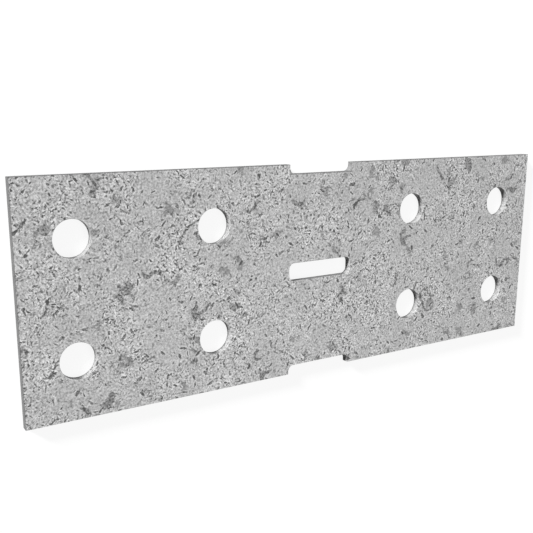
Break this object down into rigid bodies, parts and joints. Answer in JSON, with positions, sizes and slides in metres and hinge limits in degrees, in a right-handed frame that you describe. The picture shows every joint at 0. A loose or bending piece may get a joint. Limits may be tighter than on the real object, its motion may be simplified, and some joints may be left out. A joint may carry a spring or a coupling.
{
  "type": "bracket plate",
  "caption": "Flat rectangular bracket plate of galvanised steel with round bolt holes at each end, a round-cornered slot in the middle and a notch in each long edge.",
  "frame": {"origin": "middle of the lower face, on the surface that the plate lies on", "axes": "+X along the length, +Y across the width, +Z out of the upper face"},
  "size_m": [0.2, 0.07, 0.0025],
  "materials": {
    "galvanised_steel": "hot-dip galvanised, matt light grey zinc with fine darker flecks and patches"
  },
  "bodies": {
    "root": {"bracket_plate": "galvanised_steel"}
  },
  "joints": []
}
